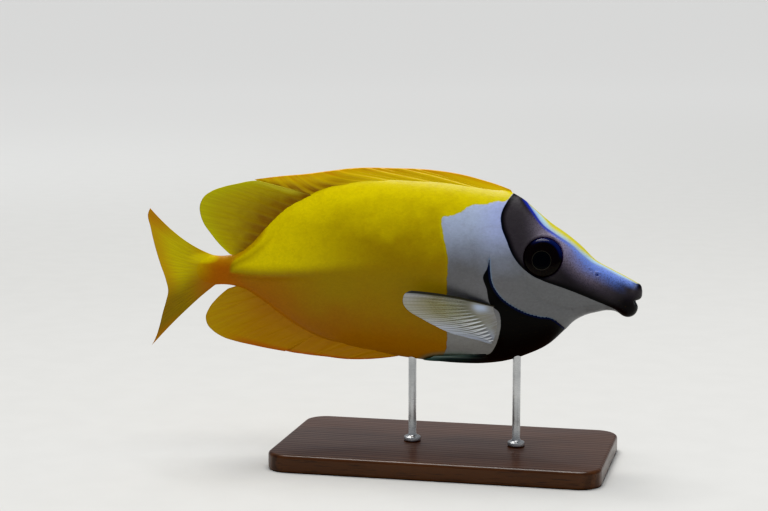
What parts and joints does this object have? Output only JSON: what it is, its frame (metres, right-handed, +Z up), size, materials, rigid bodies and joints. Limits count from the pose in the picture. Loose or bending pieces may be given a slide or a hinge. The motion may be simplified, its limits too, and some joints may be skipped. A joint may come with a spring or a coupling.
{
  "type": "foxface rabbitfish model",
  "caption": "Still, life-size model of a deep-bodied, long-snouted reef fish with folded fin spines and a forked tail, held on two rods above a flat base.",
  "frame": {"origin": "centre of the bounding box's underside, on the surface that the stand's base rests on", "axes": "+X towards the snout, +Z up, -Y on the fish's right side, which the tail swings towards"},
  "size_m": [0.1956, 0.072, 0.1173],
  "materials": {
    "head_skin": "fine-scaled skin, silvery grey with a black-brown eye band and a pale blaze, moist satin",
    "breast_skin": "fine-scaled skin, silvery white above a black breast, moist satin",
    "body_skin": "fine-scaled skin, lemon yellow shading to amber, moist satin",
    "fin": "thin yellow membrane over soft rays",
    "spiny_fin": "orange membrane over folded spines",
    "pectoral_fin": "thin clear membrane with whitish rays",
    "pelvic_fin": "dark membrane over folded rays",
    "eye": "clear, wet dome over a dark brown iris and black pupil",
    "base": "dark stained, satin lacquered hardwood",
    "rod": "brushed stainless steel"
  },
  "bodies": {
    "root": {"head": "head_skin", "lower_jaw": "head_skin", "gill_cover_right": "head_skin", "gill_cover_left": "head_skin", "eye_right": "eye", "eye_left": "eye", "trunk_front": "breast_skin", "trunk_rear": "body_skin", "tail_stalk": "body_skin", "tail_fin": "fin", "dorsal_fin_spiny": "spiny_fin", "dorsal_fin_soft": "fin", "anal_fin_spiny": "spiny_fin", "anal_fin_soft": "fin", "pectoral_fin_right": "pectoral_fin", "pectoral_fin_left": "pectoral_fin", "pelvic_fin_right": "pelvic_fin", "pelvic_fin_left": "pelvic_fin", "stand_base": "base", "stand_rod_front": "rod", "stand_rod_rear": "rod"}
  },
  "joints": []
}
